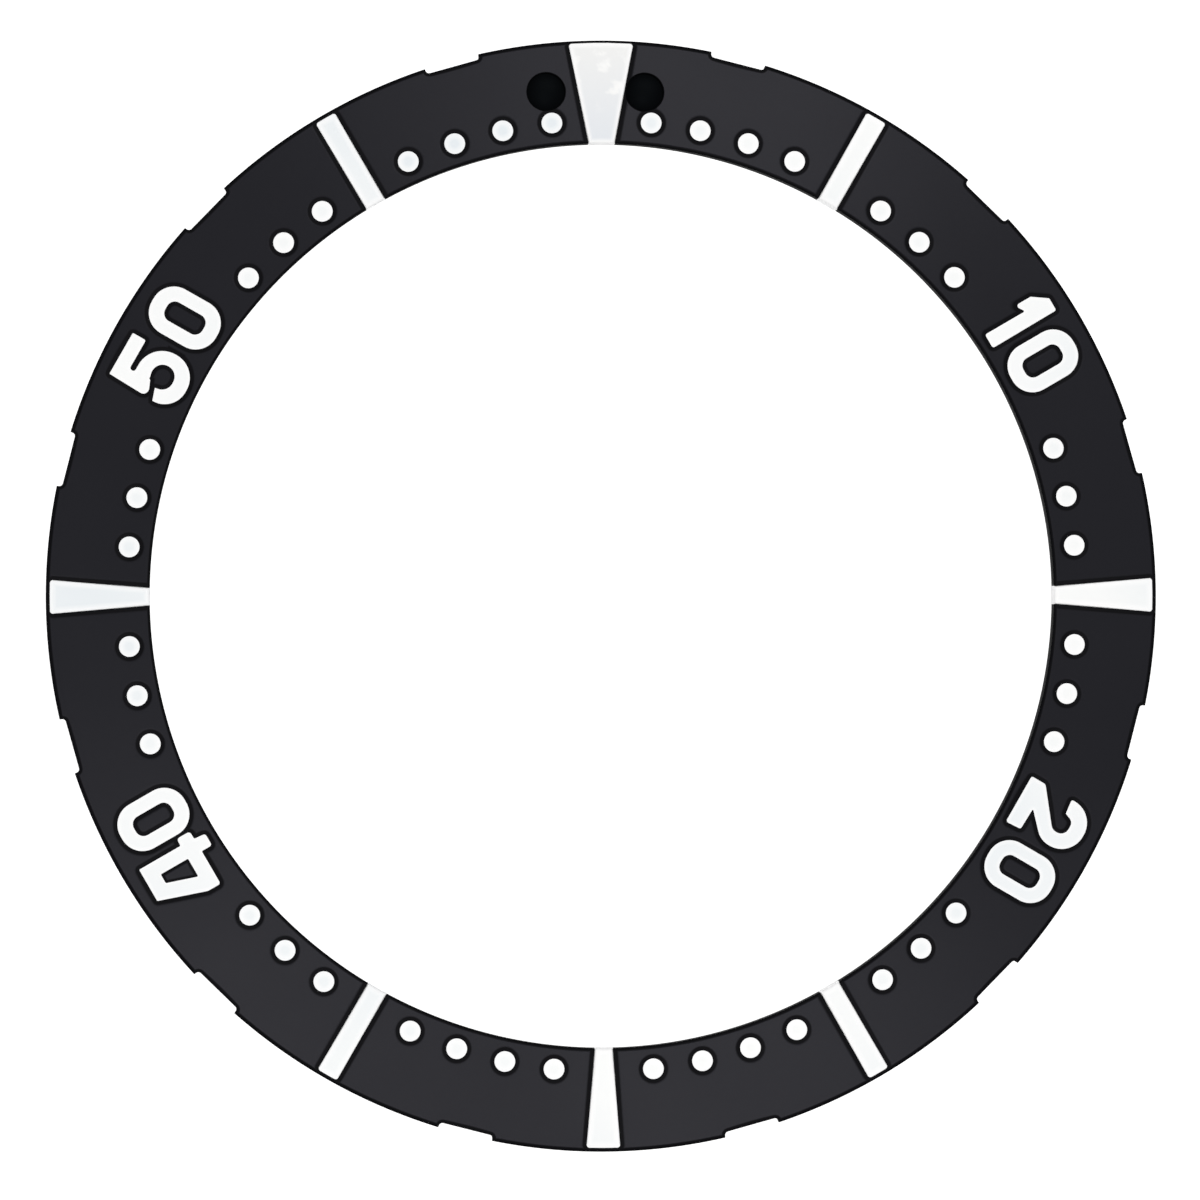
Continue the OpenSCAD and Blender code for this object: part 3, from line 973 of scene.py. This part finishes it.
print("a fill's edge lies", round(FILL_EDGE_DEPTH - fill_sink, 3), "below its top")

# %% [markdown]
# Paint that reaches the bore also runs a little way down its wall: the photograph shows a strip of
# that wall, white under each mark and black beside it. It could be a colour on the ring, but paint
# has a thickness and an edge of its own, so it is a thin skin, in one mesh with its fill.

# %% Paint on the bore's wall
BORE_COAT = 0.012
COAT_FOOT = 0.05
COAT_TOP_DEPTH = 0.15


def bore_coat(mark):
    """The skin of paint on the bore's wall under a mark."""
    inner_end = len(END_PARTS) + 2
    front, back = [mark_corners(mark, r)[:inner_end] for r in (bore_r - BORE_COAT, bore_r)]
    rings = [(0, level(COAT_FOOT), 1), (0, below_face(COAT_TOP_DEPTH), 1)]
    return stacked_solid([rounded_loop(front + back[::-1])], rings)


def mark_fill(mark, border):
    """A mark's fill and the coat under its inner end, as one mesh."""
    vertices, faces, edge_values = stacked_solid([mark_loop(mark, bore_r)], fill_rings(border))
    coat_vertices, coat_faces, coat_values = bore_coat(mark)
    first = len(vertices)
    faces += [[first + i for i in face] for face in coat_faces]
    return vertices + coat_vertices, faces, edge_values + coat_values


print("points of a marker's coat:", len(bore_coat(MARKER)[0]))

# %% [markdown]
# Bars, wedges and dots are set out by the tree from one blank each. Every mark could be an object,
# but marks of one kind are poured at once from one paint, so each kind is one piece that stands
# for several of the model's nodes.

# %% Fills of bars, wedges and dots
bars = repeated("bar_fills", mark_fill(BAR, BORDER), BARS, white_epoxy)
finish_piece(bars, [f"bar_{minute:02d}" for minute in BARS], fill_sink)
wedges = repeated("wedge_fills", mark_fill(WEDGE, BORDER), WEDGES, white_epoxy)
finish_piece(wedges, [f"wedge_{minute}" for minute in WEDGES], fill_sink)
dots = repeated("minute_dots", stacked_solid([dot_loop], fill_rings(BORDER)), dot_minutes, white_epoxy)
finish_piece(dots, [f"dots_{first:02d}_{last:02d}" for first, last in DOT_RUNS], fill_sink)

# %% [markdown]
# The digits and the marker come one by one. Only the zero is used more than once, and a tree for
# it alone would be longer than this loop. A digit's strokes are narrow, so its white border is
# too, and the marker's compound has a border of its own.

# %% Fills of the digits and the marker
for name, outline, counter, left, minute in digit_places():
    solid = stacked_solid(digit_loops(name, outline, counter, left, minute), fill_rings(DIGIT_BORDER))
    digit = new_object(f"fill_{minute}_{name}", *solid)
    digit.data.materials.append(white_epoxy)
    finish_piece(digit, [f"numeral_{minute}_{name}"], fill_sink)
marker = new_object("zero_marker_fill", *mark_fill(MARKER, MARKER_BORDER))
marker.data.materials.append(compound)
finish_piece(marker, ["zero_marker"], fill_sink)

# %% [markdown]
# The floor is plain and white, as on a light table. Paper would need strong lamps to read as pure
# white, and they would wash out the marks. So to the camera, and to anything that mirrors it, the
# floor gives most of its white itself, and the light that falls on it adds the rest, with the
# ring's soft shadow.

# %% Floor
FLOOR_HALF = 1000.0
FLOOR_GAP = 0.02
FLOOR_GLOW = 0.86

floor_paper, tree = new_material("white_paper_floor")
path = add_node(tree, "ShaderNodeLightPath").outputs
seen = 0.0
for ray in ("Is Camera Ray", "Is Glossy Ray", "Is Transmission Ray"):
    seen = add_node(tree, "ShaderNodeMath", {0: path[ray], 1: seen}, operation="MAXIMUM").outputs[0]
glow = add_node(tree, "ShaderNodeMath", {0: seen, 1: FLOOR_GLOW}, operation="MULTIPLY").outputs[0]
lit = add_node(tree, "ShaderNodeEmission", {"Color": (1, 1, 1, 1), "Strength": glow}).outputs[0]
paper = add_node(tree, "ShaderNodeBsdfDiffuse", {"Color": linear("#d8d8d8")}).outputs[0]
both = add_node(tree, "ShaderNodeAddShader", {0: lit, 1: paper}).outputs[0]
add_node(tree, "ShaderNodeOutputMaterial", {"Surface": both})

sides = (-FLOOR_HALF, FLOOR_HALF)
floor = new_object("floor", [(x, y, -FLOOR_GAP) for y in sides for x in sides], [(0, 1, 3, 2)])
if floor.data.polygons[0].normal.z < 0:
    floor.data.flip_normals()
floor.data.materials.append(floor_paper)
print("floor:", 2 * FLOOR_HALF, "mm square,", FLOOR_GAP, "mm below the ring")

# %% [markdown]
# The light is that of a light tent, bright overhead and dimmer towards the horizon, so that edges
# which turn away from above go dark. A ring of lamps could stand for the tent, but a world that
# dims towards the horizon leaves no gaps between them.

# %% Light tent
TENT_HORIZON = 0.52
TENT_OVERHEAD = 0.944
TENT_COLOUR = "#fefeff"

world = bpy.data.worlds.new("light tent")
bpy.context.scene.world = world
world.use_nodes = True
sky = world.node_tree
sky.nodes.clear()
direction = add_node(sky, "ShaderNodeTexCoord").outputs["Generated"]
height = add_node(sky, "ShaderNodeSeparateXYZ", {0: direction}).outputs["Z"]
tent = add_node(sky, "ShaderNodeMapRange", {
    "Value": height, "From Min": 0.0, "From Max": 1.0,
    "To Min": TENT_HORIZON, "To Max": TENT_OVERHEAD}).outputs[0]
glow = add_node(sky, "ShaderNodeBackground", {"Color": linear(TENT_COLOUR), "Strength": tent}).outputs[0]
add_node(sky, "ShaderNodeOutputWorld", {"Surface": glow})
print("the tent gives", TENT_OVERHEAD, "overhead and", TENT_HORIZON, "at the horizon")

# %% [markdown]
# A pale sheen crosses the real face near 12 o'clock and again near 6 o'clock. Brighter paint would
# make it, but would stay put when the ring turns. So three soft, slightly warm lamps lay it there,
# one beyond 12 o'clock and two before 6 o'clock.

# %% Lamps
LAMP_DISTANCE = 0.6
LAMP_SIDE = 0.2
LAMP_TILT = 27
LAMP_COLOUR = "#fffdf3"
LAMPS = (("lamp_beyond_12", 15, 2.65), ("lamp_before_5", 158, 2.4), ("lamp_before_7", 219, 2.5))

# Each faces the ring, tilted from overhead towards an azimuth that runs clockwise from 12 o'clock
for name, azimuth, radiance in LAMPS:
    lamp = bpy.data.lights.new(name, "AREA")
    lamp.shape = "SQUARE"
    lamp.size = LAMP_SIDE
    lamp.energy = radiance * math.pi * LAMP_SIDE * LAMP_SIDE
    lamp.color = linear(LAMP_COLOUR)[:3]
    holder = bpy.data.objects.new(name, lamp)
    holder.matrix_world = (Matrix.Rotation(math.radians(-azimuth), 4, "Z")
                           @ Matrix.Rotation(math.radians(-LAMP_TILT), 4, "X")
                           @ Matrix.Translation((0, 0, LAMP_DISTANCE)))
    bpy.context.scene.collection.objects.link(holder)
    print(name, round(lamp.energy, 3), "W")

# %% [markdown]
# The picture was taken almost square on with a long lens. A camera straight above would come
# close, but the marks would lie a little off. So its turn and shift were worked out from where the
# minute dots fall in the picture, and it looks from two and a half degrees off the axis.

# %% Camera
CAMERA_DISTANCE = 400
CAMERA_TURN = {"Z": 0.00196, "Y": 0.04292, "X": -0.00835}
CAMERA_SHIFT = (0.0409, 0.1342)
FOCAL_PIXELS = 11681
PHOTO_WIDTH = 1200
SENSOR_WIDTH = 36

lens = bpy.data.cameras.new("camera")
lens.sensor_width = SENSOR_WIDTH
lens.lens = FOCAL_PIXELS * SENSOR_WIDTH / PHOTO_WIDTH
lens.clip_start = 0.01
lens.clip_end = 10
camera = bpy.data.objects.new("camera", lens)
bpy.context.scene.collection.objects.link(camera)
to_camera = Matrix.Identity(4)
for axis, angle in CAMERA_TURN.items():
    to_camera = to_camera @ Matrix.Rotation(angle, 4, axis)
to_camera.translation = Vector((*CAMERA_SHIFT, -CAMERA_DISTANCE)) * MM
camera.matrix_world = to_camera.inverted()
bpy.context.scene.camera = camera
bpy.context.scene.view_settings.view_transform = "Standard"
print("lens", round(lens.lens, 1), "mm")
